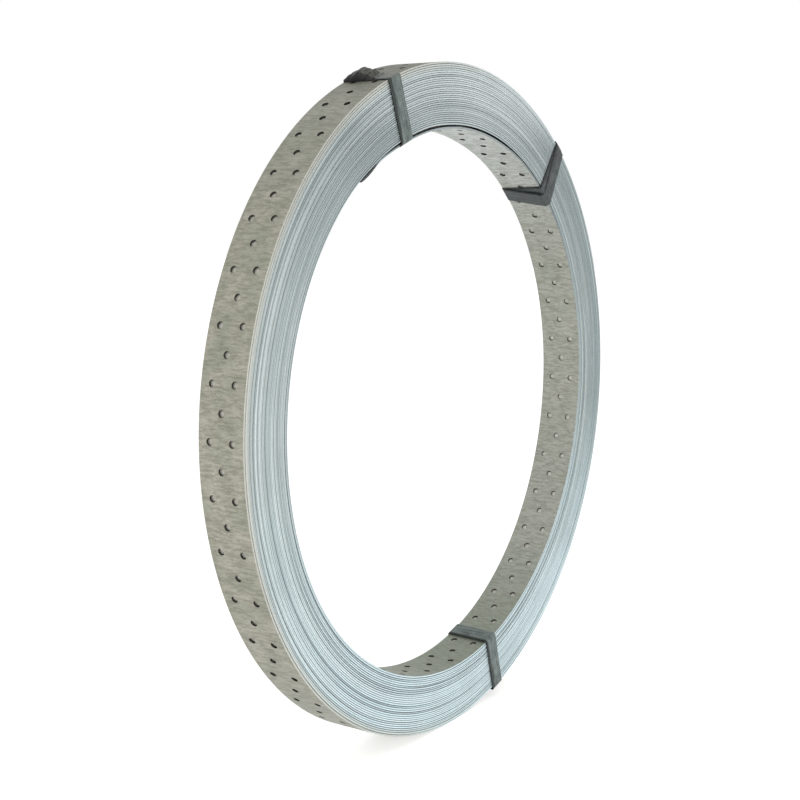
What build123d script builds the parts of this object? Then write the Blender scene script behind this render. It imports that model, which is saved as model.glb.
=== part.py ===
from build123d import *
import os
from math import cos, pi, radians, sin, sqrt

# Flat galvanised strip wound into an upright coil, lengths in millimetres.
# The coil's axis lies along Y, and it stands on its rim at z = 0.
STRIP_WIDTH = 40.0
STRIP_THICKNESS = 1.5
TURN_GAP = 0.05
TURNS = 31
COIL_RADIUS = 280.0

# The turns wander sideways as they were wound, so both ends rise and fall in
# rings, each a few turns wide.
TURNS_PER_RING = 3
END_WANDER = 1.0

# Punched holes, a pair across the strip and then one on its centre line.
HOLE_DIAMETER = 5.0
HOLE_SPACING = 20.0
PAIR_PITCH = 39.8

# The strip's inner end springs clear of the turn behind it.
INNER_END_ANGLE = 130.4
INNER_END_LIFT = 3.0
LIFTED_ARC = 8.0
RECESS_ARC = 15.0

# Steel straps that bind the coil, and the crimped seals that close them.
STRAP_WIDTH = 16.0
STRAP_THICKNESS = 0.5
STRAP_CLEARANCE = 0.2
STRAP_CORNER = 0.4
STRAP_SWEEP = 16.0
TOP_STRAP_ANGLE = 112.4
UPPER_STRAP_ANGLE = 52.2
LOWER_STRAP_ANGLE = 285.9
TOP_SEAL_Y = 7.0
UPPER_SEAL_Y = -6.0
LOWER_SEAL_Y = 0.0
SEAL_LENGTH = 26.0
SEAL_WALL = 1.0
SEAL_CREST = 1.0
SEAL_CLEARANCE = 0.1
CRIMP_RADIUS = 2.5
CRIMP_DEPTH = 0.6
STRAP_END_LENGTH = 4.0
STRAP_END_RISE = 0.8

# The upper strap goes round twice and its wraps fan out toward the bore.
# Each shift moves a corner of a wrap round the coil.
FIRST_WRAP_SHIFTS = (-4.6, 0.0, 0.0, -7.3)
SECOND_WRAP_SHIFTS = (-14.6, 0.0, 0.0, -7.3)
STRAIGHT_SHIFTS = (0.0, 0.0, 0.0, 0.0)

TURN_PITCH = STRIP_THICKNESS + TURN_GAP
BORE_RADIUS = COIL_RADIUS - TURNS * TURN_PITCH
OUTER_ROWS = 4 * round(pi * COIL_RADIUS / (2 * PAIR_PITCH))
INNER_ROWS = round(2 * pi * BORE_RADIUS / PAIR_PITCH)
END_Y = (STRIP_WIDTH + END_WANDER) / 2
STRAP_INNER_RADIUS = BORE_RADIUS - STRAP_CLEARANCE
STRAP_OUTER_RADIUS = COIL_RADIUS + STRAP_CLEARANCE
STRAP_Y = END_Y + STRAP_CLEARANCE


# Frame on the coil's section at an angle: X radial, Y along the axis, Z round the coil.
def section_plane(angle):
    a = radians(angle)
    return Plane(origin=(0, 0, 0), x_dir=(cos(a), 0, sin(a)), z_dir=(-sin(a), 0, cos(a)))


# Frame on a turn's surface, facing outward from the coil's axis.
def surface_plane(angle, y, radius):
    a = radians(angle)
    origin = (radius * cos(a), y, radius * sin(a))
    return Plane(origin=origin, x_dir=(0, 1, 0), z_dir=(cos(a), 0, sin(a)))


# Half section of the wound turns, zigzag along both ends.
def coil_profile():
    near = []
    far = []
    turns = [*range(0, TURNS, TURNS_PER_RING), TURNS]
    for ring, turn in enumerate(turns):
        radius = BORE_RADIUS + turn * TURN_PITCH
        shift = END_WANDER / 2 * (-1)**ring
        near.append((radius, shift - STRIP_WIDTH / 2))
        far.append((radius, shift + STRIP_WIDTH / 2))
    return near + far[::-1]


# Round bar parallel to the axis whose far side touches a radius at one angle
# and crosses a smaller radius an arc away from it.
def eccentric_bar(angle, arc, outer, inner):
    centre = (outer**2 - inner**2) / (2 * (outer - inner * cos(radians(arc))))
    bar = Cylinder(outer - centre, 2 * STRIP_WIDTH)
    return section_plane(angle) * Pos(centre, 0, 0) * Rot(90, 0, 0) * bar


# Space on one side of the plane through the axis at an angle.
def half_space(angle, side):
    size = 2 * COIL_RADIUS
    return section_plane(angle) * Pos(0, 0, side * size / 2) * Box(2 * size, size, size)


# Space left behind the strip's inner end, and before it along the last turn.
def inner_end_space():
    lifted = BORE_RADIUS + INNER_END_LIFT
    tail = Rot(90, 0, 0) * Cylinder(BORE_RADIUS + STRIP_THICKNESS, 3 * STRIP_WIDTH)
    gap = eccentric_bar(INNER_END_ANGLE, LIFTED_ARC, lifted, BORE_RADIUS + STRIP_THICKNESS)
    gap = (gap & half_space(INNER_END_ANGLE, -1)) - tail
    recess = eccentric_bar(INNER_END_ANGLE, RECESS_ARC, lifted, BORE_RADIUS)
    return [gap, recess & half_space(INNER_END_ANGLE, 1)]


# Angle and place across the strip of every hole in one turn of rows.
def hole_places(rows):
    step = 360 / rows
    pairs = [(i * step, s * HOLE_SPACING / 2) for i in range(rows) for s in (-1, 1)]
    return pairs + [((i + 0.5) * step, 0) for i in range(rows)]


# Blind pockets one turn deep, round where a pair faces straight along X or Z
# and elsewhere plain square ones of the same area.
def hole_pockets(rows, radius):
    depth = 2 * TURN_PITCH
    round_hole = Cylinder(HOLE_DIAMETER / 2, depth)
    side = HOLE_DIAMETER * sqrt(pi) / 2
    plain_hole = Box(side, side, depth)
    pockets = []
    for angle, y in hole_places(rows):
        hole = round_hole if y != 0 and angle % 90 < 0.01 else plain_hole
        pockets.append(surface_plane(angle, y, radius).location * hole)
    return pockets


def make_strip_coil():
    coil = revolve(make_face(Polyline(coil_profile(), close=True)), Axis.Y)
    coil -= inner_end_space()
    coil -= hole_pockets(OUTER_ROWS, COIL_RADIUS)
    coil -= hole_pockets(INNER_ROWS, BORE_RADIUS)
    return coil


# Section shape swept a short way round the axis to both sides of its plane.
def swept(section):
    return Rot(0, -STRAP_SWEEP / 2, 0) * revolve(section, Axis.Y, STRAP_SWEEP)


# Block that keeps one run of strap between two corners of the section. Each
# corner has its own shift round the coil, and the run leans between them.
def run_block(start, end, start_shift, end_shift):
    along = (Vector(*end) - Vector(*start)).normalized()
    length = (Vector(*end) - Vector(*start)).length
    half = STRAP_WIDTH / 2
    past = 4 * STRAP_THICKNESS
    stations = [(-past, start_shift), (past, start_shift), (length - past, end_shift), (length + past, end_shift)]
    edge = [(x, z - half) for x, z in stations]
    edge += [(x, z + half) for x, z in reversed(stations)]
    plane = Plane(origin=(*start, 0), x_dir=(along.X, along.Y, 0), z_dir=(along.Y, -along.X, 0))
    return extrude(plane * make_face(Polyline(edge, close=True)), past, both=True)


# Closed band of strap round the coil's section, with rounded outer corners.
def strap_wrap(shifts):
    corners = [(STRAP_INNER_RADIUS, -STRAP_Y), (STRAP_OUTER_RADIUS, -STRAP_Y),
               (STRAP_OUTER_RADIUS, STRAP_Y), (STRAP_INNER_RADIUS, STRAP_Y)]
    width = STRAP_OUTER_RADIUS - STRAP_INNER_RADIUS
    middle = Pos((STRAP_OUTER_RADIUS + STRAP_INNER_RADIUS) / 2, 0, 0)
    inside = Rectangle(width, 2 * STRAP_Y)
    outside = Rectangle(width + 2 * STRAP_THICKNESS, 2 * (STRAP_Y + STRAP_THICKNESS))
    outside = chamfer(outside.vertices(), STRAP_CORNER)
    sleeve = swept(middle * (outside - inside))
    runs = [run_block(corners[i], corners[(i + 1) % 4], shifts[i], shifts[(i + 1) % 4]) for i in range(4)]
    return sleeve & (Part() + runs)


# Free end of the strap, doubled under the seal and turned up beyond it.
def strap_end(seal_y, side):
    low = STRAP_OUTER_RADIUS + STRAP_THICKNESS
    top = low + STRAP_THICKNESS
    start = seal_y - side * SEAL_LENGTH / 2
    bend = seal_y + side * SEAL_LENGTH / 2
    tip = bend + side * STRAP_END_LENGTH
    profile = [(low, start), (low, bend), (low + STRAP_END_RISE, tip),
               (top + STRAP_END_RISE, tip), (top, bend), (top, start)]
    band = swept(make_face(Polyline(profile, close=True)))
    return band & Pos(low, 0, 0) * Box(4 * SEAL_WALL + 4 * STRAP_END_RISE, 4 * STRIP_WIDTH, STRAP_WIDTH)


def make_strap(angle, wraps, seal_y, end_side):
    strap = strap_end(seal_y, end_side)
    for shifts in wraps:
        strap += strap_wrap(shifts)
    return section_plane(angle).location * strap


# Crimped sleeve over the doubled strap: two crests with a dent between them,
# and a notch pressed into each side of the dent.
def make_seal(angle, seal_y):
    channel_width = STRAP_WIDTH + 2 * SEAL_CLEARANCE
    channel_top = STRAP_OUTER_RADIUS + 2 * STRAP_THICKNESS + SEAL_CLEARANCE
    crest_top = channel_top + SEAL_WALL + SEAL_CREST
    width = channel_width + 2 * SEAL_WALL
    half = SEAL_LENGTH / 2
    low = channel_top + SEAL_WALL
    left = [(STRAP_OUTER_RADIUS, -half), (low, -half), (crest_top, -half * 0.7), (crest_top, -half * 0.35), (low, 0)]
    right = [(x, -y) for x, y in reversed(left[:-1])]
    seal = extrude(make_face(Polyline(left + right, close=True)), width / 2, both=True)
    channel_height = channel_top - STRAP_OUTER_RADIUS
    seal -= Pos(STRAP_OUTER_RADIUS + channel_height / 2, 0, 0) * Box(channel_height, 2 * SEAL_LENGTH, channel_width)
    reach = width / 2 + CRIMP_RADIUS - CRIMP_DEPTH
    notch = Rot(0, 90, 0) * Cylinder(CRIMP_RADIUS, 3 * (crest_top - STRAP_OUTER_RADIUS))
    seal -= [Pos(STRAP_OUTER_RADIUS, 0, side * reach) * notch for side in (-1, 1)]
    return section_plane(angle).location * Pos(0, seal_y, 0) * seal


# Moves a piece from the coil's axis up to where the rim touches the floor.
def stand(piece):
    return Pos(0, 0, COIL_RADIUS) * piece


def make_pieces():
    double_wrap = (FIRST_WRAP_SHIFTS, SECOND_WRAP_SHIFTS)
    single_wrap = (STRAIGHT_SHIFTS,)
    return {
        "strip_coil": make_strip_coil(),
        "top_strap": make_strap(TOP_STRAP_ANGLE, single_wrap, TOP_SEAL_Y, -1),
        "top_strap_seal": make_seal(TOP_STRAP_ANGLE, TOP_SEAL_Y),
        "upper_strap": make_strap(UPPER_STRAP_ANGLE, double_wrap, UPPER_SEAL_Y, 1),
        "upper_strap_seal": make_seal(UPPER_STRAP_ANGLE, UPPER_SEAL_Y),
        "lower_strap": make_strap(LOWER_STRAP_ANGLE, single_wrap, LOWER_SEAL_Y, 1),
        "lower_strap_seal": make_seal(LOWER_STRAP_ANGLE, LOWER_SEAL_Y),
    }


os.makedirs("parts", exist_ok=True)
for name, piece in make_pieces().items():
    export_step(stand(piece), f"parts/{name}.step")
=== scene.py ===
import math

import bmesh
import bpy
import numpy as np
from mathutils import Matrix, Vector


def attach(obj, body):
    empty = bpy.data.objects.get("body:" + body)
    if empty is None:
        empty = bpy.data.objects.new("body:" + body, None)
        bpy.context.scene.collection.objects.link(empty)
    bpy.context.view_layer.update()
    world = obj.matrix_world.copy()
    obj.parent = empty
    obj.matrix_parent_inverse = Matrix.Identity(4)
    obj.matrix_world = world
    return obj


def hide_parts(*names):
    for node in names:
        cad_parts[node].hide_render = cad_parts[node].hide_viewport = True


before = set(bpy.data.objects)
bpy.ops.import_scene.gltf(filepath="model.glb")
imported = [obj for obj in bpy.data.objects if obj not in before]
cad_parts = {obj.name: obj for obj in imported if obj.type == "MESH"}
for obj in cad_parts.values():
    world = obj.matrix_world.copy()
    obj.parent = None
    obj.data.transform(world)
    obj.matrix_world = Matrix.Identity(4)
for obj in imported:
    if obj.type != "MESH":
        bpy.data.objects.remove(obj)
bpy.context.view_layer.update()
print("stage: frame loaded")

mm = 0.001
body = "root"
axisHeight = 280.0       # the coil's axis above the floor, mm
keptDecimals = 9         # of a place in metres
weldDistance = 2e-6      # points nearer than this are joined, metres


# Smooth step: 0 below 0, 1 above 1, and 3x^2 - 2x^3 between them.
def smooth(x):
    x = np.clip(x, 0.0, 1.0)
    return x * x * (3 - 2 * x)


# Smooth step from 0 to 1 as x passes from a start to an end.
def ease(x, start, end):
    return smooth((x - start) / (end - start))


# Swell: 0 up to its start, its height between full and falling, and 0 from its
# end on, with a smooth step up and one down. It may run either way along x.
def swell(x, height, start, full, falling, end):
    return height * ease(x, start, full) * ease(x, end, falling)


# Curve through stops and their values, eased at each stop.
def easedCurve(x, stops, values):
    stops, values = np.array(stops), np.array(values)
    k = np.clip(np.searchsorted(stops, x) - 1, 0, len(stops) - 2)
    return values[k] + (values[k + 1] - values[k]) * ease(x, stops[k], stops[k + 1])


# Puts points in mm and a list of faces into a mesh object, with named point and
# face values, joins what coincides, turns the faces outward and shades all
# smooth but the edges sharper than an angle.
def makePiece(name, points, faces, pointValues, faceValues, sharpAngle):
    mesh = bpy.data.meshes.new(name)
    mesh.from_pydata(np.round(points * mm, keptDecimals), [], faces)
    for domain, values in (("POINT", pointValues), ("FACE", faceValues)):
        for key, data in values.items():
            layer = mesh.attributes.new(key, "FLOAT", domain)
            layer.data.foreach_set("value", np.asarray(data, np.float32))
    work = bmesh.new()
    work.from_mesh(mesh)
    bmesh.ops.remove_doubles(work, verts=work.verts, dist=weldDistance)
    bmesh.ops.recalc_face_normals(work, faces=work.faces)
    work.to_mesh(mesh)
    work.free()
    mesh.polygons.foreach_set("use_smooth", np.ones(len(mesh.polygons), bool))
    mesh.set_sharp_from_angle(angle=math.radians(sharpAngle))
    mesh.update()
    piece = bpy.data.objects.new(name, mesh)
    bpy.context.scene.collection.objects.link(piece)
    return piece


# Faces of a grid whose point (i, j) has number start + i * columns + j. A
# closed grid joins its last column to its first.
def gridFaces(rows, columns, start=0, closed=True):
    steps = columns if closed else columns - 1
    i, j = np.meshgrid(np.arange(rows - 1), np.arange(steps), indexing="ij")
    here, beside = i * columns + j, i * columns + (j + 1) % columns
    quads = np.stack([here, beside, beside + columns, here + columns], -1)
    return quads.reshape(-1, 4) + start


# Quads between two lines of point numbers.
def between(a, b):
    return np.stack([a[:-1], b[:-1], b[1:], a[1:]], -1)


# Lengths are in mm and angles in degrees, from +X toward +Z. A swell is its
# height, then where it starts, is full, starts to fall and ends.
coil = {
    "outerRadius": 280.0,
    "boreRadius": 231.95,
    "stripWidth": 40.0,
    "stripThickness": 1.48,
    "edgeChamfer": 0.32,
    "sharpAngle": 30.0,
    "windings": 31,          # times the strip passes its inner end's angle
    "tipAngle": 130.4,       # inner end
    "tipBack": 1.4,          # arc that its cut lies short of that
    "endAngle": 285.0,       # outer end, hidden under the lower strap
    "endRamp": 14.0,         # arc over which the last turn climbs over its own end
    "outerShare": 0.08,      # part of that climb left open right under the last turn
    "tipGap": 0.5,           # opening that later turns leave round the inner end
    "tipArcBefore": 8.5,     # arcs over which it opens and closes
    "tipArcAfter": 12.0,
    # swells by the arc past the outer end and by the arc wound
    "settle": (0.35, 290, 320, 348, 360),         # turns lie lower before they climb
    "tipDroop": (1.8, 0, 3.8, 4.3, 9.5),          # the inner end bows in just past its tip
    # swells by angle, counted up from the seam
    "seamAngle": -170.0,
    "firstGap": (0.7, 126, 117, 104, 95),         # opening behind the first turn
    "firstDroop": (1.2, 124, 113, 76, 62),        # how far the first turn lies in
    "secondGap": (0.25, 103, 90, 64, 49),         # opening behind the second turn
    "sag": (2.4, 150, 105, -110, -160),           # how far the inner turns lie in
    "topSag": (0.8, 140, 112, 82, 50),            # more of it by the crest
    # turns over which the openings begin and the first two turns' own swells end
    "gapsFrom": (0.9, 0.95),
    "firstUntil": (0.7, 0.5),
    "secondUntil": (1.7, 1.5),
    "sideways": 0.2,         # the whole winding, away from the near side
    "wander": 0.4,           # sideways wander of the turns
    "waves": ((0.5, 0.37, 1), (0.3, 1.41, 2), (0.2, 0.17, 0)),    # share, waves a turn, phase
    "innerSetBack": 0.9,     # how far the free inner turn lies behind the others
    "freeUntil": (110, 60),  # arc over which it is free no more
    "outerRows": 44,         # pairs of holes in a turn
    "innerRows": 37,
    "holeRadius": 2.5,
    "holeSpacing": 20.0,
    "rimChamfer": 0.25,
    "holeCell": 5.0,         # half side of the patch that carries a hole
    "stepsPerTurn": 160,
    "jointMargin": 0.3,      # least step between a punched turn and the plain ones
}
turnsTotal = coil["windings"] + (coil["tipAngle"] - coil["endAngle"]) / 360
coilPitch = (coil["outerRadius"] - coil["stripThickness"] - coil["boreRadius"]) / turnsTotal
windEnd = 360 * turnsTotal
sameArc = 1e-6           # arcs nearer than this are one
ringSize = 16            # points in a ring round a hole
sectionSize = 8          # points in the section of a plain turn or a strap
flatKind, edgeKind, wallKind, chamferKind, coveredKind = range(5)


# Radius of the strip's inner side after winding through an angle: an even
# spiral, plus the climb of the turns over the outer end, plus the openings
# behind the inner end, less what the inner turns lie in. The last two fade
# toward the rim.
def windingRadius(wound):
    turn = wound / 360
    fade = 1 - turn / turnsTotal
    depth = turn / (turnsTotal - 1)
    lastTurn = wound > windEnd - 360
    angle = coil["tipAngle"] - wound
    seam = coil["seamAngle"]
    place = np.mod(angle - seam, 360) + seam

    pastEnd = np.mod(coil["endAngle"] - angle, 360)
    climb = coilPitch * (1 - pastEnd / 360) * smooth(pastEnd / coil["endRamp"])
    climb = climb * np.where(lastTurn, 1, (1 - coil["outerShare"]) * depth)
    settled = swell(pastEnd, *coil["settle"]) * np.where(lastTurn, 0, depth)

    fromTip = np.mod(angle - coil["tipAngle"] + 180, 360) - 180
    opening = np.where(fromTip > 0, smooth(1 - fromTip / coil["tipArcAfter"]),
                       smooth(1 + fromTip / coil["tipArcBefore"]))
    opening = coil["tipGap"] * opening + swell(place, *coil["firstGap"])
    opening = opening * ease(turn, *coil["gapsFrom"]) * fade

    droop = swell(wound, *coil["tipDroop"])
    droop = droop + swell(place, *coil["firstDroop"]) * ease(turn, *coil["firstUntil"])
    droop = droop + swell(place, *coil["secondGap"]) * ease(turn, *coil["secondUntil"])
    droop = droop + (swell(place, *coil["sag"]) + swell(place, *coil["topSag"])) * fade
    return coil["boreRadius"] + coilPitch * turn + climb - settled + opening - droop


# Sideways place of the strip after winding through an angle: a sum of waves
# that don't repeat from turn to turn, or a set-back where the inner end is free.
def sideShift(wound):
    t = wound / 360 * 2 * math.pi
    waves = sum(share * np.sin(rate * t + phase) for share, rate, phase in coil["waves"])
    free = ease(wound, *coil["freeUntil"])
    return coil["sideways"] + coil["wander"] * waves * (1 - free) + coil["innerSetBack"] * free


# Point of the strip from its winding angle, place across and height in the
# thickness: polar coordinates about the coil's axis.
def stripPoint(wound, across, height):
    radius = windingRadius(wound) + height
    angle = np.radians(coil["tipAngle"] - wound)
    x, z = radius * np.cos(angle), axisHeight + radius * np.sin(angle)
    return np.stack([x, across + sideShift(wound), z], -1)


# Flat patch of strip, one row of holes long: a grid of lines along and across,
# with the eight grid points round each hole joined to four rings, down through
# the strip. Points are (along, across, height). It gives the points, the quads
# and their kinds, the flat five-sided faces round the holes, and the loops of
# points at the patch's two ends.
def rowPatch(centres, halfLength):
    half, thickness, chamfer = coil["stripWidth"] / 2, coil["stripThickness"], coil["edgeChamfer"]
    cell, rim, radius = coil["holeCell"], coil["rimChamfer"], coil["holeRadius"]
    along = np.array([-halfLength, -cell, 0, cell, halfLength])
    across = np.concatenate([[chamfer - half], np.arange(-3, 4) * cell, [half - chamfer]])
    rows, columns = len(along), len(across)
    low, side = rows * columns, 2 * rows * columns
    x, y = np.meshgrid(along, across, indexing="ij")
    top = np.stack([x, y, np.full((rows, columns), thickness)], -1).reshape(-1, 3)
    border = np.array([(-half, thickness - chamfer), (-half, chamfer),
                       (half, thickness - chamfer), (half, chamfer)])
    points = [top, top * [1, 1, 0],
              np.column_stack([np.tile(along, 4), np.repeat(border, rows, axis=0)])]

    holes = np.searchsorted(across, centres)
    i, j = np.divmod(np.arange((rows - 1) * (columns - 1)), columns - 1)
    punched = (np.abs(i + 1 - rows / 2) < 1) & (np.abs(j[:, None] + 0.5 - holes) < 1).any(1)
    sheet = gridFaces(rows, columns, closed=False)[~punched]
    line = np.arange(rows)
    left, right = line * columns, line * columns + columns - 1
    edges = [side + n * rows + line for n in range(4)]
    lines = ((left, edges[0], edges[1], low + left), (right, edges[2], edges[3], low + right))
    sides = [between(a, b) for down in lines for a, b in zip(down, down[1:])]
    quads = [sheet, low + sheet, *sides]
    kinds = [np.full(2 * len(sheet), flatKind),
             np.repeat([chamferKind, edgeKind, chamferKind] * 2, rows - 1)]

    fives = []
    ringRadius = np.array([radius + rim, radius, radius, radius + rim])[:, None]
    ringHeight = np.array([thickness, thickness - rim, rim, 0])[:, None]
    turned = 2 * math.pi * np.arange(ringSize) / ringSize
    # the grid points round a hole: their rows, and their columns from the hole's
    around = np.array([3, 3, 2, 1, 1, 1, 2, 3]) * columns + np.array([0, 1, 1, 1, 0, -1, -1, -1])
    for n, hole in enumerate(holes):
        start = side + 4 * rows + 4 * ringSize * n
        rings = [ringRadius * np.cos(turned), across[hole] + ringRadius * np.sin(turned),
                 np.repeat(ringHeight, ringSize, 1)]
        points.append(np.stack(rings, -1).reshape(-1, 3))
        corner, nextCorner = around + hole, np.roll(around, -1) + hole
        upper = [start + (2 * np.arange(8) + m) % ringSize for m in (2, 1, 0)]
        lower = [ring + 3 * ringSize for ring in upper]
        fives += [np.stack([corner, nextCorner, *upper], -1),
                  np.stack([low + corner, low + nextCorner, *lower], -1)]
        quads.append(gridFaces(4, ringSize, start))
        kinds.append(np.full(3 * ringSize, wallKind))

    ends = []
    for row in (0, rows - 1):
        first = row * columns + np.arange(columns)
        ends.append([*first, edges[2][row], edges[3][row],
                     *(low + first[::-1]), edges[1][row], edges[0][row]])
    quads, fives = np.concatenate(quads), np.concatenate(fives)
    used = np.unique(np.concatenate([quads.ravel(), fives.ravel()]))
    points = np.concatenate(points)[used]
    quads, fives, ends = (np.searchsorted(used, numbers) for numbers in (quads, fives, ends))
    return points, quads, np.concatenate(kinds), fives, ends


# One turn of punched strip: patches with a pair of holes and with one hole by
# turns, each bent round at its row's winding angle. A patch's points keep
# their place along, divided by the radius, as an angle. Point numbers count
# from a start.
def punchedTurn(angles, pairs, halfArc, radius, start):
    halfLength = radius * math.radians(halfArc)
    spacing = coil["holeSpacing"] / 2
    patches = [rowPatch([0], halfLength), rowPatch([-spacing, spacing], halfLength)]
    sizes = np.where(pairs, len(patches[1][0]), len(patches[0][0]))
    starts = np.cumsum(sizes) - sizes
    points = np.zeros((sizes.sum(), 3))
    quads, kinds, fives = [], [], []
    for paired, (patch, patchQuads, patchKinds, patchFives, _) in enumerate(patches):
        rows = np.flatnonzero(pairs == paired)
        place = starts[rows][:, None] + np.arange(len(patch))
        points[place, 0] = angles[rows][:, None] + np.degrees(patch[:, 0] / radius)
        points[place, 1:] = patch[:, 1:]
        quads.append((patchQuads + starts[rows][:, None, None]).reshape(-1, 4))
        fives.append((patchFives + starts[rows][:, None, None]).reshape(-1, 5))
        kinds.append(np.tile(patchKinds, len(rows)))
    quads, fives = np.concatenate(quads) + start, np.concatenate(fives) + start
    firstEnds, lastEnds = patches[int(pairs[0])][-1], patches[int(pairs[-1])][-1]
    ends = [start + starts[0] + firstEnds[0], start + starts[-1] + lastEnds[1]]
    return points, quads, np.concatenate(kinds), fives, ends


# The whole strip from its inner end to its outer end: a punched turn, plain
# turns with an eight-point section, and a punched turn. Its point values are
# the length along it and the place across it in metres, and the turns wound.
def makeStrip():
    half, thickness, chamfer = coil["stripWidth"] / 2, coil["stripThickness"], coil["edgeChamfer"]
    innerStep, outerStep = 180 / coil["innerRows"], 180 / coil["outerRows"]
    innerIndex = math.floor(coil["tipAngle"] / innerStep) - np.arange(2 * coil["innerRows"])
    innerAngles = coil["tipAngle"] - innerIndex * innerStep
    outerIndex = round(coil["endAngle"] / outerStep) + np.arange(2 * coil["outerRows"])[::-1]
    outerAngles = windEnd - (outerIndex * outerStep - coil["endAngle"])

    inner = punchedTurn(innerAngles, innerIndex % 2 == 0, innerStep / 2, coil["boreRadius"], 0)
    outer = punchedTurn(outerAngles, outerIndex % 2 == 0, outerStep / 2, coil["outerRadius"],
                        len(inner[0]))
    innerWound, outerWound = inner[0][:, 0], outer[0][:, 0]
    innerWound[innerWound < innerWound.min() + sameArc] = coil["tipBack"]
    outerWound[outerWound > outerWound.max() - sameArc] = windEnd

    step, margin = 360 / coil["stepsPerTurn"], coil["jointMargin"]
    plainStart = (innerAngles[-1] + innerStep / 2) / step
    plainEnd = (outerAngles[0] - outerStep / 2) / step
    stations = np.arange(math.ceil(plainStart + margin), math.floor(plainEnd - margin) + 1) * step
    section = np.array([(-half + chamfer, thickness), (half - chamfer, thickness),
                        (half, thickness - chamfer), (half, chamfer),
                        (half - chamfer, 0), (-half + chamfer, 0),
                        (-half, chamfer), (-half, thickness - chamfer)])
    sectionKinds = [coveredKind, chamferKind, edgeKind, chamferKind] * 2
    plain = np.column_stack([np.repeat(stations, sectionSize),
                             np.tile(section, (len(stations), 1))])
    wound, across, height = np.concatenate([inner[0], outer[0], plain]).T

    first = len(inner[0]) + len(outer[0])
    last = first + sectionSize * (len(stations) - 1)
    quads = [inner[1], outer[1], gridFaces(len(stations), sectionSize, first)]
    fives = inner[3].tolist() + outer[3].tolist()
    faces = np.concatenate(quads).tolist() + fives
    kinds = [*inner[2], *outer[2], *sectionKinds * (len(stations) - 1), *[flatKind] * len(fives)]
    # A punched end has nine points along its top, two down a side, nine back
    # and two up. The stops are those that meet the section's corners.
    stops = [0, 8, 9, 10, 11, 19, 20, 21, 22]
    for loop, ring in ((inner[4][1], first), (outer[4][0], last)):
        loop = [*loop.tolist(), int(loop[0])]
        for n in range(sectionSize):
            nextPoint = ring + (n + 1) % sectionSize
            faces.append(loop[stops[n]:stops[n + 1] + 1] + [nextPoint, ring + n])
        kinds += sectionKinds
    faces += [inner[4][0].tolist(), outer[4][1].tolist()]
    kinds = np.array(kinds + [edgeKind, edgeKind])

    turned = np.radians(wound)
    along = coil["boreRadius"] * turned + coilPitch * turned**2 / (4 * math.pi)
    values = {"along": along * mm, "across": across * mm, "turn": wound / 360}
    faceValues = {"cutEdge": (kinds == edgeKind) | (kinds == chamferKind),
                  "holeWall": kinds == wallKind, "chamfer": kinds == chamferKind,
                  "covered": kinds == coveredKind}
    return makePiece("wound_strip", stripPoint(wound, across, height), faces, values, faceValues,
                     coil["sharpAngle"])


strip = makeStrip()
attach(strip, body)
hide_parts("strip_coil")
print("stage: strip wound,", len(strip.data.polygons), "faces")


# Lengths are in mm and angles in degrees.
straps = {
    "width": 16.0,
    "cornerRadius": 1.2,
    "side": 20.55,           # inside of the first wrap, from the middle of the strip
    "outside": 280.2,        # radius of its run over the rim
    "easedEdge": 0.35,       # size of an edge's chamfer, as a share of the thickness
    "sharpAngle": 35.0,
    "stepLength": 2.0,
    "cornerSteps": 5,
    "endThickness": 0.4,     # the loose end's, and its distance off the wraps
    "endGap": 0.03,
    "endSteps": 22,
    "endBend": (0.72, 1.0),  # shares of its length between which it turns up
    "endCurve": 1.4,         # above 1, it turns up later
    "darkTip": (0.7, 0.9),   # shares of its length between which it darkens
}
# The seals' profiles: places from the middle, and the heights there.
plainSeal = ((-13, -10, -7, -4, 0, 4, 7, 10, 13), (3.0, 2.7, 2.4, 2.9, 2.5, 2.9, 2.4, 2.7, 3.0))
lumpySeal = ((-13, -9.5, -8, -7, -4.5, -1, 2, 4.6, 6.6, 8.4, 9.8, 10.6),
             (1.5, 1.6, 3.4, 5.2, 4.5, 6.3, 7.3, 6.0, 4.5, 5.0, 4.5, 2.8))
# "inside" is the radius of a strap's run through the bore, and "end" is where
# its loose end starts and stops along the axis and how far it turns up. A layer
# is one wrap: thickness, distance off the coil, tangential shifts of its corners
# (near bore, near rim, far rim, far bore), slack at the near bore corner and
# that corner's radius. Its side entry is the edge that the painted shadow line
# follows, and "tooth" is the height of the seal's teeth.
strapList = {
    "top": {
        "angle": 112.4, "inside": 227.9, "sealY": 7.0, "sealProfile": lumpySeal, "tooth": 0.5,
        "shadowSide": 1, "end": (16.5, 0.5, 2.6),
        "layers": [(0.45, 0.15, (0, 0, 0, 0), 0, 3.5)],
    },
    "upper": {
        "angle": 52.2, "inside": 229.25, "sealY": -6.0, "sealProfile": plainSeal, "tooth": 0.1,
        "shadowSide": 1, "end": (-19.0, 11.0, 0.8),
        "layers": [(0.28, 0.0, (-2.0, 0, 0, -4.2), 0.4, 2.5),
                   (0.28, 0.32, (-10.4, 0, 0, -4.2), 2.2, 5.0)],
    },
    "lower": {
        "angle": 285.9, "inside": 229.3, "sealY": 0.0, "sealProfile": plainSeal, "tooth": 0.1,
        "shadowSide": -1, "end": (-13.0, 17.0, 0.8),
        "layers": [(0.45, 0.15, (-2.2, -1.5, 0, 0), 0.6, 3.0)],
    },
}


# Point from a radius about the axis, a place along the axis and a tangential
# place, round a strap's angle: the tangential place stays straight and the
# radius is kept, so a band hugs the coil.
def strapPoint(angle, radius, y, tangent):
    a = math.radians(angle)
    outward = np.sqrt(radius**2 - tangent**2)
    x = outward * math.cos(a) - tangent * math.sin(a)
    z = axisHeight + outward * math.sin(a) + tangent * math.cos(a)
    return np.stack([x, y, z], -1)


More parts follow.
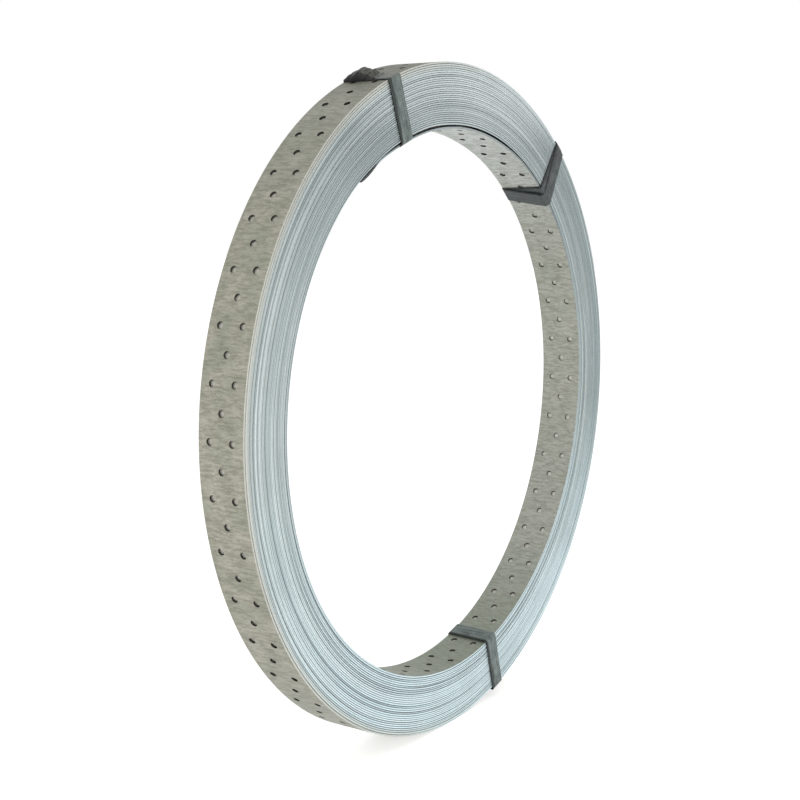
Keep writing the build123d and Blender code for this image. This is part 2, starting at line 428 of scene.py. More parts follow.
# Route of a band round the coil's section, starting and ending unshifted and
# mid-way over the rim: straight runs with rounded corners, as rows of (radius,
# y, outward normal, tangential shift). A shift changes evenly along a run.
# Slack lets the corner by the near bore stand off the coil.
def bandRoute(inside, offset, shifts, slack, boreCorner):
    rimCorner = straps["cornerRadius"]
    radii = np.array([rimCorner, boreCorner, rimCorner, rimCorner]) + offset
    inner, outer, side = inside - offset, straps["outside"] + offset, straps["side"] + offset
    nearBore, nearRim, farRim, farBore = shifts
    middle = (outer, 0.0, 0.0)
    stops = np.array([middle, (outer, -side, nearRim), (inner - slack, -side, nearBore),
                      (inner, side, farBore), (outer, side, farRim), middle])
    route = []
    for n, (a, b) in enumerate(zip(stops, stops[1:])):
        run = b[:2] - a[:2]
        length = np.linalg.norm(run)
        direction = run / length
        normal = np.array([-direction[1], direction[0]])
        trimA, trimB = (0 if n == 0 else radii[n - 1]), (0 if n == len(radii) else radii[n])
        count = max(2, round((length - trimA - trimB) / straps["stepLength"]))
        at = np.linspace(trimA, length - trimB, count + 1)
        shift = a[2] + (b[2] - a[2]) * at / length
        place = a[:2] + at[:, None] * direction
        route.append(np.column_stack([place, np.tile(normal, (len(at), 1)), shift]))
        if n < len(radii):
            after = stops[n + 2][:2] - b[:2]
            after /= np.linalg.norm(after)
            centre = b[:2] + radii[n] * (after - direction)
            nextNormal = np.array([-after[1], after[0]])
            blend = np.arange(1, straps["cornerSteps"]) / straps["cornerSteps"] * math.pi / 2
            turned = np.cos(blend)[:, None] * normal + np.sin(blend)[:, None] * nextNormal
            corner = [centre + radii[n] * turned, turned, np.full(len(turned), b[2])]
            route.append(np.column_stack(corner))
    return np.concatenate(route)


# Band of a thickness swept along its route: an eight-point flat section with
# eased edges. Its point values are the length along the route, the distance
# from the side where the strap's painted shadow line runs, and 0 for what
# isn't the loose end's tip.
def bandGrid(spec, thickness, offset, shifts, slack, boreCorner):
    route = bandRoute(spec["inside"], offset, shifts, slack, boreCorner)
    half, eased = straps["width"] / 2, thickness * straps["easedEdge"]
    section = np.array([(-half, eased), (-half + eased, 0), (half - eased, 0), (half, eased),
                        (half, thickness - eased), (half - eased, thickness),
                        (-half + eased, thickness), (-half, thickness - eased)])
    radius, y, radial, sideways, shift = np.repeat(route, sectionSize, axis=0).T
    tangent, height = np.tile(section, (len(route), 1)).T
    lengths = np.linalg.norm(np.diff(route[:, :2], axis=0), axis=1)
    run = np.concatenate([[0], np.cumsum(lengths)])
    values = {"run": np.repeat(run, sectionSize), "fromEdge": half - spec["shadowSide"] * tangent,
              "tip": np.zeros(len(tangent))}
    points = strapPoint(spec["angle"], radius + radial * height, y + sideways * height,
                        tangent + shift)
    return points, values, gridFaces(len(route), sectionSize)


# Loose end of a strap under its seal, turned up past the seal: a flat section
# swept along the axis at a rising radius.
def strapEnd(spec, low):
    start, stop, rise = spec["end"]
    half, thickness = straps["width"] / 2, straps["endThickness"]
    y = np.linspace(start, stop, straps["endSteps"])
    share = (y - start) / (stop - start)
    lift = rise * ease(share, *straps["endBend"])**straps["endCurve"]
    section = np.array([(-half, 0), (half, 0), (half, thickness), (-half, thickness)])
    size = len(section)
    tangent, height = np.tile(section, (len(y), 1)).T
    values = {"run": np.repeat(y, size), "fromEdge": half - spec["shadowSide"] * tangent,
              "tip": np.repeat(ease(share, *straps["darkTip"]), size)}
    ends = np.array([range(size), range(size * (len(y) - 1), size * len(y))])
    faces = np.concatenate([gridFaces(len(y), size), ends])
    radius = low + np.repeat(lift, size) + height
    return strapPoint(spec["angle"], radius, np.repeat(y, size), tangent), values, faces


# Strap as one piece: its wraps and its loose end.
def makeStrap(name, spec):
    top = max(thickness + offset for thickness, offset, *_ in spec["layers"])
    parts = [bandGrid(spec, *layer) for layer in spec["layers"]]
    parts.append(strapEnd(spec, straps["outside"] + top + straps["endGap"]))
    points = np.concatenate([part[0] for part in parts])
    values = {key: np.concatenate([part[1][key] for part in parts]) for key in parts[0][1]}
    starts = np.cumsum([0] + [len(part[0]) for part in parts])
    faces = np.concatenate([part[2] + start for part, start in zip(parts, starts)])
    piece = makePiece(name + "_band", points, faces.tolist(), values, {}, straps["sharpAngle"])
    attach(piece, body)
    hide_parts(name + "_strap")
    return piece


seal = {
    "length": 26.0,
    "halfWidth": 9.1,
    "wall": 1.0,
    "low": 280.05,           # radius that it stands on
    "sharpAngle": 40.0,
    "steps": 80,
    # half of the section's outside: shares of the half width and of the height
    "across": (0, 0.25, 0.5, 0.75, 0.92, 0.98, 1, 1),
    "rise": (1, 1, 1, 1, 0.95, 0.8, 0.5, 0),
    "fullest": -0.3,         # where across it is fullest, and how fast it falls off
    "fallOff": 0.22,
    "toothSpacing": 2.1,
    "toothFrom": (0.62, 0.77),    # where the teeth start and are full, in half lengths
    "toothCross": 0.8,       # waves across, for one along
    "toothRise": 0.9,        # least rise of the section that carries teeth
    "pinch": (0.6, 2.6),     # depth and width of the notch in each side
}


# Crimped seal: a shallow channel section swept along the strap, its height
# following the profile and fuller on its upper side, with a toothed end and
# sides pressed in at the middle.
def makeSeal(name, spec):
    y = np.linspace(-0.5, 0.5, seal["steps"]) * seal["length"]
    height = easedCurve(y, *spec["sealProfile"])[:, None]
    depth, width = seal["pinch"]
    half = (seal["halfWidth"] - depth * np.exp(-(y / width)**2))[:, None]
    # the section runs up one side, over the top and down, then back inside
    z, rise = np.array(seal["across"]), np.array(seal["rise"])
    z, rise = np.concatenate([-z[:0:-1], z]), np.concatenate([rise[:0:-1], rise])
    full = 1 - seal["fallOff"] * (z - seal["fullest"])**2
    toothed = spec["tooth"] * ease(2 * y / seal["length"], *seal["toothFrom"])
    wave = 2 * math.pi / seal["toothSpacing"]
    teethAlong = (toothed * np.sin(wave * y))[:, None]
    teeth = teethAlong * np.cos(seal["toothCross"] * wave * seal["halfWidth"] * z)
    top = height * rise * full + teeth * (rise > seal["toothRise"])
    across = np.concatenate([half * z, (half - seal["wall"]) * z[::-1]], 1)
    up = np.concatenate([top, np.clip(top[:, ::-1] - seal["wall"], 0, None)], 1)
    rows, columns = across.shape
    place = spec["sealY"] + np.repeat(y, columns)
    points = strapPoint(spec["angle"], seal["low"] + up.ravel(), place, across.ravel())
    faces = gridFaces(rows, columns)
    # end faces join the outside to the inside, pair by pair
    k = np.arange(len(z) - 1)
    ends = np.stack([k, k + 1, columns - 2 - k, columns - 1 - k], -1)
    ends = np.concatenate([ends, ends + (rows - 1) * columns])
    cutEnd = np.arange(len(faces) + len(ends)) >= len(faces)
    values = {"run": np.repeat(y, columns),
              "fromEdge": seal["halfWidth"] - spec["shadowSide"] * across.ravel()}
    faces = np.concatenate([faces, ends]).tolist()
    piece = makePiece(name + "_seal", points, faces, values, {"cutEnd": cutEnd},
                      seal["sharpAngle"])
    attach(piece, body)
    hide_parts(name + "_strap_seal")
    return piece


bands = {name: makeStrap(name, spec) for name, spec in strapList.items()}
seals = {name: makeSeal(name, spec) for name, spec in strapList.items()}
print("stage: straps and seals made")


# Adds a node, sets its fields and its unlinked inputs, and links the rest. An
# input goes by its name, with _ for a space, or by its number, as i0 or i1.
def addNode(tree, kind, fields=None, **inputs):
    node = tree.nodes.new(kind)
    for key, value in (fields or {}).items():
        setattr(node, key, value)
    for key, value in inputs.items():
        numbered = key[0] == "i" and key[1:].isdigit()
        socket = node.inputs[int(key[1:]) if numbered else key.replace("_", " ")]
        if isinstance(value, bpy.types.NodeSocket):
            tree.links.new(value, socket)
        else:
            socket.default_value = value
    return node


# Result of one operation on one or two values.
def mathNode(tree, operation, a, b=0.0, clamp=False):
    fields = {"operation": operation, "use_clamp": clamp}
    return addNode(tree, "ShaderNodeMath", fields, i0=a, i1=b).outputs[0]


# Product of two values.
def times(tree, a, b):
    return mathNode(tree, "MULTIPLY", a, b)


# Sum of two values.
def plus(tree, a, b):
    return mathNode(tree, "ADD", a, b)


# Vector from three values.
def combine(tree, x, y, z):
    return addNode(tree, "ShaderNodeCombineXYZ", None, X=x, Y=y, Z=z).outputs[0]


# A colour painted over with coats in turn, each a mask and a colour: a coat
# covers by its mask's value.
def paintOver(tree, colour, *coats):
    fields = {"data_type": "RGBA", "blend_type": "MIX"}
    for mask, coat in coats:
        colour = addNode(tree, "ShaderNodeMix", fields, i0=mask, i6=colour, i7=coat).outputs[2]
    return colour


# Value that the mesh stores under a name.
def attribute(tree, name):
    return addNode(tree, "ShaderNodeAttribute", {"attribute_name": name}).outputs["Fac"]


# Straight ramp from one result to another between two values, level beyond them.
def ramp(tree, value, low, high, toLow=0.0, toHigh=1.0):
    return addNode(tree, "ShaderNodeMapRange", None, Value=value, From_Min=low, From_Max=high,
                   To_Min=toLow, To_Max=toHigh).outputs[0]


# Cloudy noise from 0 to 1 at a vector.
def noise(tree, vector, scale, detail=3.0, rough=0.5, distortion=0.0):
    return addNode(tree, "ShaderNodeTexNoise", None, Vector=vector, Scale=scale, Detail=detail,
                   Roughness=rough, Distortion=distortion).outputs["Fac"]


# Each is a noise's detail, roughness and distortion, and the ramp to its mask.
mottle = {
    "Blotch": ((4.0, 0.6, 0.3), (0.32, 0.68)),
    "Grain": ((3.0, 0.65, 0.0), (0.3, 0.7)),
}


# Blotches and grain: two sizes of noise on the given coordinates, as masks.
def buildMottle():
    group = bpy.data.node_groups.new("mottle", "ShaderNodeTree")
    face = group.interface
    face.new_socket("Vector", in_out="INPUT", socket_type="NodeSocketVector")
    for name in mottle:
        face.new_socket(name + " Scale", in_out="INPUT", socket_type="NodeSocketFloat")
    for name in mottle:
        face.new_socket(name, in_out="OUTPUT", socket_type="NodeSocketFloat")
    start = group.nodes.new("NodeGroupInput").outputs
    end = group.nodes.new("NodeGroupOutput").inputs
    for name, (settings, limits) in mottle.items():
        cloud = noise(group, start["Vector"], start[name + " Scale"], *settings)
        group.links.new(ramp(group, cloud, *limits), end[name])
    return group


mottleGroup = buildMottle()


# Masks of blotches and grain of two scales at a vector.
def useMottle(tree, vector, blotchScale, grainScale):
    node = addNode(tree, "ShaderNodeGroup", {"node_tree": mottleGroup}, Vector=vector,
                   Blotch_Scale=blotchScale, Grain_Scale=grainScale)
    return node.outputs["Blotch"], node.outputs["Grain"]


# A material with its node tree and its shader, already on the output.
def newMaterial(name):
    material = bpy.data.materials.new(name)
    material.use_nodes = True
    tree = material.node_tree
    tree.nodes.clear()
    shader = tree.nodes.new("ShaderNodeBsdfPrincipled")
    output = tree.nodes.new("ShaderNodeOutputMaterial")
    tree.links.new(shader.outputs[0], output.inputs[0])
    return material, tree, shader


stripFinish = {
    "khaki": (0.41, 0.405, 0.33, 1),
    "darkKhaki": (0.19, 0.19, 0.145, 1),
    "paleKhaki": (0.58, 0.55, 0.47, 1),
    "greenKhaki": (0.34, 0.375, 0.285, 1),
    "shadedKhaki": (0.28, 0.29, 0.25, 1),
    # painted shade: the outer face turns near black toward the crest
    "crestShade": (0.06, 0.058, 0.045, 1),
    "innerFace": (0.42, 0.435, 0.395, 1),
    # painted light on the inner face near its top, and painted shade near its bottom
    "innerTopLight": (0.68, 0.73, 0.72, 1),
    "innerLowShade": (0.235, 0.28, 0.225, 1),
    # painted light: covered faces, seen only through the holes, are paler against the holes'
    # shade
    "covered": (0.62, 0.61, 0.54, 1),
    # painted shade in the gaps by the inner turns and on the inner end's tip
    "gapShade": (0.03, 0.03, 0.027, 1),
    "edge": (0.435, 0.49, 0.49, 1),
    # dark turns, grain and blotches, and painted shade high up and in the groove lines
    "darkEdgeAndShade": (0.18, 0.225, 0.24, 1),
    # tone of the bright turns, also painted light on the cut edges at the crest
    "brightEdgeAndLight": (0.78, 0.85, 0.85, 1),
    # painted light: cut edges, and their bright turns, brighter and bluer toward the floor
    "lowEdgeLight": (0.80, 0.96, 1.0, 1),
    "lowTurnLight": (0.90, 0.98, 1.0, 1),
    # painted shade on the cut edges toward the right
    "rightEdgeShade": (0.255, 0.312, 0.316, 1),
    # painted highlight on the outermost turns' cut edges at the left
    "rimHighlight": (0.52, 0.51, 0.45, 1),
    # painted shade in the grooves between turns
    "grooveShade": (0.09, 0.12, 0.13, 1),
    # near black: the sheared walls' darker steel, with painted shade in the holes
    "holeWall": (0.035, 0.035, 0.03, 1),
    "metallic": 0.55,
    "bump": (0.25, 0.0004),
}

# Noise on the strip. On the faces: scales along, across and by the turn, then
# the noise's own scale, detail, roughness and distortion. On the edges: scales
# along and by the turn and a third coordinate, then the same. A mottle has the
# scales of its blotches and of its grain.
faceNoises = {
    "streak": ((5.0, 1.0, 0.05), (105.0, 2.5, 0.6, 0.5)),
    "fine": ((3.5, 1.0, 0.3), (300.0, 2.0, 0.6, 0.8)),
    "tint": ((1.0, 0.8, 0.4), (65.0, 2.0)),
}
edgeNoises = {
    "turnTone": ((0.05, 0.9, 0.0), (3.0, 2.0, 0.5)),
    "lineTone": ((0.3, 3.3, 0.0), (2.0, 1.0, 0.5)),
    "drift": ((0.5, 0.22, 3.0), (1.6, 1.0, 0.5)),
}
stripMottle = {
    "faceScales": (1.0, 1.0, 0.07),
    "face": (42.0, 900.0),
    "edge": (14.0, 700.0),
}

# Ramps to the strip's masks: from and to, and the results there if they aren't
# 0 and 1. Places are in metres, and turns are counted from the bore.
stripMasks = {
    # by noise
    "streak": (0.40, 0.56),
    "fine": (0.38, 0.6),
    "tint": (0.4, 0.62),
    "darkTurns": (0.35, 0.5, 0.22, 0),
    "brightTurns": (0.52, 0.68, 0, 0.6),
    "lineTone": (0.38, 0.58),
    # by height
    "upper": (0.40, 0.52),
    "lower": (0.26, 0.06),
    # where painted shade darkens the outer face toward the crest
    "crest": (0.515, 0.55),
    # painted shade on the inner face near the floor
    "innerLowShade": (0.13, 0.05),
    # painted shade on the cut edges high up, then painted light at the crest
    "highEdgeShade": (0.42, 0.48, 0, 0.2),
    "crestLight": (0.495, 0.54, 0, 0.85),
    # by place to the right, and from the strip's middle
    # painted shade on the cut edges toward the right
    "right": (0.12, 0.27, 0, 0.8),
    # the rim's painted highlight only on the left
    "left": (0.06, -0.1),
    # painted gap shade near the strip's edges, on the inner turns
    "deep": (0.0135, 0.0150),
    # by turn
    "inside": (3.0, 2.0),
    "deepTurns": (3.0, 2.5),
    "rimTurns": (turnsTotal - 4.5, turnsTotal - 0.5),
    # painted shadow on the inner end's cut edge at its tip
    "tipTurn": (0.023, 0.018),
    "tipCut": (0.0012, 0.0025),
    # by the wave that makes about one turn in three dark: painted shade of the grooves between
    # turns
    "third": (0.35, 0.8),
    "line": (0.62, 0.95),
    # by another mask
    "streakDark": (0, 1, 0.42, 0),
    "fineDark": (0, 1, 0.3, 0),
    "innerShare": (0, 1, 0.65, 0.92),
    "lineShare": (0, 1, 0.22, 0.7),
    "grooveDepth": (0, 1, 0.25, 0.7),
    "tipChamfer": (0, 1, 1, 0.2),
    "roughness": (0, 1, 0.58, 0.46),
}

# Most that each mask shows. "linePhase" is the dark lines' phase in a turn, one
# line in three turns, and "drift" is how far noise moves it.
stripShares = {
    "tint": 0.6,
    "upper": 0.65,
    "lower": 0.35,
    "crest": 0.85,
    "faceGrain": 0.22,
    "edgeGrain": 0.2,
    "edgeBlotch": 0.2,
    # more painted groove shade toward the floor
    "lowerGroove": 0.25,
    "rim": 0.8,
    "bumpGrain": 0.5,
    "linePhase": 2 * math.pi / 3,
    "drift": 11.0,
}


# Galvanised strip: khaki faces with streaks across the strip and a greyer tone in
# the bore, with painted shade toward the top and bottom, near black at the crest,
# painted light and shade on the bore's top and bottom, paler covered faces in the
# holes as painted light, and painted gap shade by the inner turns. Bluish cut
# edges with light and dark turns, painted light brighter and bluer toward the
# floor and at the crest, painted shade high up, on the right and in the grooves
# and their dark lines, a painted highlight on the outer turns at the left and a
# painted shadow at the inner end's tip; and near-black hole walls, their darker
# steel with painted shade.
def stripMaterial():
    material, tree, shader = newMaterial("galvanised_steel")
    finish, share = stripFinish, stripShares
    along, across, turn, chamfer = (attribute(tree, key)
                                    for key in ("along", "across", "turn", "chamfer"))
    position = addNode(tree, "ShaderNodeTexCoord").outputs["Object"]
    spot = addNode(tree, "ShaderNodeSeparateXYZ", None, Vector=position).outputs

    # mask by name from a value
    def mask(key, value):
        return ramp(tree, value, *stripMasks[key])

    # place on the strip as a vector: along, across and turn, each scaled
    def facePlace(scales):
        return combine(tree, *(times(tree, *pair) for pair in zip((along, across, turn), scales)))

    # masks of the faces' noise by name
    def faceMask(key):
        scales, settings = faceNoises[key]
        return mask(key, noise(tree, facePlace(scales), *settings))

    # the edges' noise by name, from along and turn, each scaled
    def edgeNoise(key):
        (alongScale, turnScale, third), settings = edgeNoises[key]
        place = combine(tree, times(tree, along, alongScale), times(tree, turn, turnScale), third)
        return noise(tree, place, *settings)

    streak, fine, tint = (faceMask(key) for key in ("streak", "fine", "tint"))
    blotch, grain = useMottle(tree, facePlace(stripMottle["faceScales"]), *stripMottle["face"])
    upper, lower, crest = (mask(key, spot["Z"]) for key in ("upper", "lower", "crest"))
    shaded = plus(tree, times(tree, upper, share["upper"]), times(tree, lower, share["lower"]))
    # the bore's greyer tone, with painted shade near the floor and painted light near the top
    innerFace = paintOver(tree, finish["innerFace"],
                          (mask("innerLowShade", spot["Z"]), finish["innerLowShade"]),
                          (upper, finish["innerTopLight"]))
    # the bore's tone shows more near the top and bottom, where it carries painted light and shade
    innerShare = mask("innerShare", plus(tree, upper, lower))
    # painted shade in the gaps near the strip's edges on the inner turns
    deep = times(tree, mask("deep", mathNode(tree, "ABSOLUTE", across)), mask("deepTurns", turn))
    hidden = paintOver(tree, finish["covered"], (deep, finish["gapShade"]))
    face = paintOver(
        tree, finish["khaki"],
        (blotch, finish["paleKhaki"]),
        (times(tree, tint, share["tint"]), finish["greenKhaki"]),
        (shaded, finish["shadedKhaki"]),
        # painted shade toward the crest
        (times(tree, crest, share["crest"]), finish["crestShade"]),
        (times(tree, mask("inside", turn), innerShare), innerFace),
        (mask("streakDark", streak), finish["darkKhaki"]),
        (mask("fineDark", fine), finish["darkKhaki"]),
        (times(tree, grain, share["faceGrain"]), finish["darkKhaki"]),
        # covered faces: paler with painted light, and painted shade at the gaps by the inner
        # turns
        (attribute(tree, "covered"), hidden),
    )

    turnTone, lineTone, drift = (edgeNoise(key) for key in ("turnTone", "lineTone", "drift"))
    edgeBlotch, edgeGrain = useMottle(tree, position, *stripMottle["edge"])
    # bright turns, with painted light whiter toward the floor
    bright = paintOver(tree, finish["brightEdgeAndLight"], (lower, finish["lowTurnLight"]))
    phase = plus(tree, times(tree, turn, share["linePhase"]),
                 times(tree, drift, share["drift"]))
    wave = mathNode(tree, "COSINE", phase)
    # dark lines of painted groove shade, stronger toward the floor
    line = times(tree, mask("line", wave), mask("lineTone", lineTone))
    line = times(tree, line, mask("lineShare", lower))
    # painted shade in the grooves, deeper in one turn in three and toward the floor
    grooveShade = plus(tree, mask("grooveDepth", mask("third", wave)),
                  times(tree, lower, share["lowerGroove"]))
    # painted highlight on the rim's outer turns, on the left
    rim = times(tree, mask("rimTurns", turn), mask("left", spot["X"]))
    # painted shadow on the inner end's cut edge at its tip
    tipShadow = times(tree, mask("tipTurn", turn), mask("tipCut", turn))
    edge = paintOver(
        tree, finish["edge"],
        # painted shade toward the right
        (mask("right", spot["X"]), finish["rightEdgeShade"]),
        # painted light toward the floor
        (lower, finish["lowEdgeLight"]),
        # painted shade high up, then painted light at the crest
        (mask("highEdgeShade", spot["Z"]), finish["darkEdgeAndShade"]),
        (mask("crestLight", spot["Z"]), finish["brightEdgeAndLight"]),
        (mask("darkTurns", turnTone), finish["darkEdgeAndShade"]),
        (mask("brightTurns", turnTone), bright),
        (line, finish["darkEdgeAndShade"]),
        (times(tree, edgeGrain, share["edgeGrain"]), finish["darkEdgeAndShade"]),
        (times(tree, edgeBlotch, share["edgeBlotch"]), finish["darkEdgeAndShade"]),
        (times(tree, chamfer, grooveShade), finish["grooveShade"]),
        (times(tree, rim, share["rim"]), finish["rimHighlight"]),
        (times(tree, tipShadow, mask("tipChamfer", chamfer)), finish["gapShade"]),
    )

    colour = paintOver(tree, face, (attribute(tree, "cutEdge"), edge),
                       # hole walls: their darker steel, with painted shade
                       (attribute(tree, "holeWall"), finish["holeWall"]))
    tree.links.new(colour, shader.inputs["Base Color"])
    shader.inputs["Metallic"].default_value = finish["metallic"]
    tree.links.new(mask("roughness", streak), shader.inputs["Roughness"])
    strength, distance = finish["bump"]
    height = plus(tree, streak, times(tree, grain, share["bumpGrain"]))
    bump = addNode(tree, "ShaderNodeBump", None, Strength=strength, Distance=distance,
                   Height=height)
    tree.links.new(bump.outputs[0], shader.inputs["Normal"])
    return material


# "lift" is how far the strap pales inside the bore, and "roughness" is that of
# the base and of the blotches of wear.
strapFinish = {
    "steel": (0.11, 0.145, 0.138, 1),
    "worn": (0.22, 0.265, 0.25, 1),
    # dark streaks, tip and grain, and the painted shadow line down the side
    "darkAndShade": (0.012, 0.02, 0.018, 1),
    "lift": 0.0,
    "grainDark": 0.4,
    "blotchScale": 130.0,
    "roughness": (0.5, 0.38),
}
darkStrapFinish = {
    **strapFinish,
    "steel": (0.035, 0.045, 0.046, 1),
    "worn": (0.09, 0.103, 0.102, 1),
    "darkAndShade": (0.006, 0.01, 0.01, 1),
    "lift": 0.5,
}
sealFinish = {
    "steel": (0.055, 0.056, 0.045, 1),
    "worn": (0.15, 0.155, 0.13, 1),
    "darkAndShade": (0.006, 0.007, 0.006, 1),
    "cut": (0.45, 0.48, 0.47, 1),
    "cutShare": 0.8,
    "grainDark": 0.9,
    "blotchScale": 380.0,
    "roughness": (0.55, 0.43),
}

# Pattern of straps and seals, by mm along and across the strap.
darkSteel = {
    "grainScale": 1100.0,
    "runScale": 0.05,
    "streakNoise": (0.75, 2.0, 0.6, 0.3),
    "wear": 0.75,
    "ragged": 2.6,                         # how far the dark line's edge strays
    # painted shadow line along the strap's side: where it starts and ends across the strap
    "shadowLine": (1.9, 2.7, 1, 0),
    "streaks": (0.49, 0.62, 0, 0.75),
    "narrowing": (24, 68, 0, 1.5),         # of the dark line, toward the bore
    "rimCorner": (19, 21.5, 0.8, 0),       # wear over the rim
    "boreRun": (66, 72),                   # where the strap turns into the bore
    "sealLine": 1.2,                       # how much wider a seal's dark line is
    "farLine": 19.8,                       # place of the line on its other side
    "grain": (0.35, 0.75),
    "metallic": 0.35,
    "bump": (0.3, 0.0003),
}


# Dark blued steel of the straps and seals: blotches of wear over a dark base,
# streaks along the strap and a ragged line of painted shadow down one side,
# narrower toward the bore. A seal has painted shade down both sides, and bright
# cut ends.
def darkSteelMaterial(name, finish, isStrap):
    material, tree, shader = newMaterial(name)
    position = addNode(tree, "ShaderNodeTexCoord").outputs["Object"]
    blotch, grain = useMottle(tree, position, finish["blotchScale"], darkSteel["grainScale"])
    run, fromEdge = attribute(tree, "run"), attribute(tree, "fromEdge")
    flat = combine(tree, times(tree, run, darkSteel["runScale"]), fromEdge, 0.0)
    streak = noise(tree, flat, *darkSteel["streakNoise"])
    stray = times(tree, streak, darkSteel["ragged"])
    ragged = mathNode(tree, "SUBTRACT", fromEdge, stray)
    coats = [(times(tree, blotch, darkSteel["wear"]), finish["worn"])]
    if isStrap:
        inBore = ramp(tree, run, *darkSteel["boreRun"], 0, finish["lift"])
        coats += [(ramp(tree, streak, *darkSteel["streaks"]), finish["darkAndShade"]),
                  (attribute(tree, "tip"), finish["darkAndShade"]),
                  (ramp(tree, run, *darkSteel["rimCorner"]), sealFinish["worn"]),
                  (inBore, finish["worn"])]
        ragged = plus(tree, ragged, ramp(tree, run, *darkSteel["narrowing"]))
    else:
        coats.append((times(tree, attribute(tree, "cutEnd"), finish["cutShare"]), finish["cut"]))
        ragged = mathNode(tree, "MINIMUM",
                          mathNode(tree, "SUBTRACT", ragged, darkSteel["sealLine"]),
                          mathNode(tree, "SUBTRACT", darkSteel["farLine"], fromEdge))
    grainMask = ramp(tree, grain, *darkSteel["grain"], 0, finish["grainDark"])
    # painted shadow line down the side
    coats += [(ramp(tree, ragged, *darkSteel["shadowLine"]), finish["darkAndShade"]),
              (grainMask, finish["darkAndShade"])]
    tree.links.new(paintOver(tree, finish["steel"], *coats), shader.inputs["Base Color"])
    shader.inputs["Metallic"].default_value = darkSteel["metallic"]
    roughness = ramp(tree, blotch, 0, 1, *finish["roughness"])
    tree.links.new(roughness, shader.inputs["Roughness"])
    strength, distance = darkSteel["bump"]
    bump = addNode(tree, "ShaderNodeBump", None, Strength=strength, Distance=distance,
                   Height=grain)
    tree.links.new(bump.outputs[0], shader.inputs["Normal"])
    return material


strip.data.materials.append(stripMaterial())
strapMaterial = darkSteelMaterial("blued_strap", strapFinish, True)
darkStrapMaterial = darkSteelMaterial("darker_blued_strap", darkStrapFinish, True)
sealMaterial = darkSteelMaterial("crimped_seal", sealFinish, False)
for name, piece in bands.items():
    piece.data.materials.append(darkStrapMaterial if name == "upper" else strapMaterial)
for piece in seals.values():
    piece.data.materials.append(sealMaterial)
print("stage: materials made")


# Lengths are in metres and powers in watts.
studio = {
    "floor": (0.86, 0.86, 0.86, 1),
    "floorSize": 12.0,       # half side
    "floorRoughness": 0.9,
    "floorSpecular": 0.1,
    "floorGlow": 0.5,        # how much the floor shines by itself for the camera
    "worldLight": 0.75,
    "white": (1, 1, 1, 1),
    "key": {"place": (-0.45, -0.95, 0.3), "target": (-0.05, 0, 0.08), "size": 0.5, "power": 5.0},
    "fill": {"place": (-1.6, -1.2, 1.6), "target": (0, 0, 0.28), "size": 1.6, "power": 3.0},
}
# The camera is placed by azimuth, elevation and distance from the coil's centre
# and turned by its roll. Lengths are in metres, and its lens and sensor in mm.
viewpoint = {
    "azimuth": -58.30,
    "elevation": 7.546,
    "roll": 0.961,
    "distance": 1.1284,
    "lens": 59.488,
    "sensor": 36,
    "shift": (-0.0499, 0.0011),
    "clipEnd": 100,
}


# 1 for rays that see the background: camera, mirror and glass rays.
def seesBackground(tree):
    path = addNode(tree, "ShaderNodeLightPath").outputs
    total = plus(tree, path["Is Camera Ray"], path["Is Glossy Ray"])
    return mathNode(tree, "ADD", total, path["Is Transmission Ray"], clamp=True)


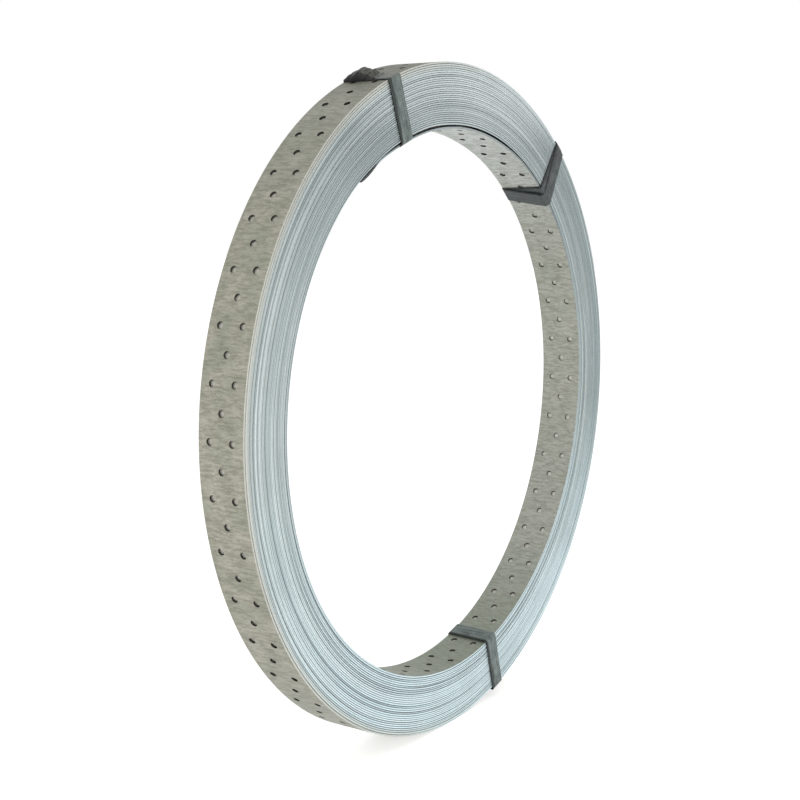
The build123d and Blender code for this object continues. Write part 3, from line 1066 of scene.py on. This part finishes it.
# Pale floor: one square, which shines a little by itself for rays that see the
# background.
def makeFloor():
    mesh = bpy.data.meshes.new("floor")
    size = studio["floorSize"]
    corners = [(-size, -size, 0), (size, -size, 0), (size, size, 0), (-size, size, 0)]
    mesh.from_pydata(corners, [], [(0, 1, 2, 3)])
    floor = bpy.data.objects.new("floor", mesh)
    bpy.context.scene.collection.objects.link(floor)
    material, tree, shader = newMaterial("pale_floor")
    shader.inputs["Base Color"].default_value = studio["floor"]
    shader.inputs["Roughness"].default_value = studio["floorRoughness"]
    shader.inputs["Specular IOR Level"].default_value = studio["floorSpecular"]
    shader.inputs["Emission Color"].default_value = studio["white"]
    glow = times(tree, seesBackground(tree), studio["floorGlow"])
    tree.links.new(glow, shader.inputs["Emission Strength"])
    mesh.materials.append(material)


# White world: full strength for rays that see the background, and less as light.
def makeWorld():
    world = bpy.data.worlds.new("studio")
    world.use_nodes = True
    tree = world.node_tree
    tree.nodes.clear()
    strength = ramp(tree, seesBackground(tree), 0, 1, studio["worldLight"], 1.0)
    sky = addNode(tree, "ShaderNodeBackground", None, Color=studio["white"], Strength=strength)
    output = tree.nodes.new("ShaderNodeOutputWorld")
    tree.links.new(sky.outputs[0], output.inputs[0])
    bpy.context.scene.world = world


# Round lamp at a place, turned to face its target.
def makeLamp(name, place, target, size, power):
    lamp = bpy.data.lights.new(name, "AREA")
    lamp.shape = "DISK"
    lamp.size = size
    lamp.energy = power
    lampObject = bpy.data.objects.new(name, lamp)
    lampObject.location = place
    toTarget = Vector(target) - Vector(place)
    lampObject.rotation_euler = toTarget.to_track_quat("-Z", "Y").to_euler()
    bpy.context.scene.collection.objects.link(lampObject)


# Camera on a line from the coil's centre, given by azimuth and elevation, and
# turned a little about that line.
def makeCamera(azimuth, elevation, roll, distance, lens, sensor, shift, clipEnd):
    a, e, r = (math.radians(angle) for angle in (azimuth, elevation, roll))
    back = Vector((math.sin(a) * math.cos(e), -math.cos(a) * math.cos(e), math.sin(e)))
    right = Vector((math.cos(a), math.sin(a), 0))
    up = back.cross(right)
    camera = bpy.data.cameras.new("camera")
    camera.lens, camera.sensor_width = lens, sensor
    camera.shift_x, camera.shift_y = shift
    camera.clip_end = clipEnd
    view = bpy.data.objects.new("camera", camera)
    x = math.cos(r) * right + math.sin(r) * up
    y = -math.sin(r) * right + math.cos(r) * up
    view.matrix_world = Matrix((x, y, back)).transposed().to_4x4()
    view.matrix_world.translation = Vector((0, 0, axisHeight * mm)) + back * distance
    bpy.context.scene.collection.objects.link(view)
    bpy.context.scene.camera = view


makeFloor()
makeWorld()
makeLamp("key", **studio["key"])
makeLamp("fill", **studio["fill"])
makeCamera(**viewpoint)
bpy.context.scene.view_settings.view_transform = "Standard"
print("stage: studio set")
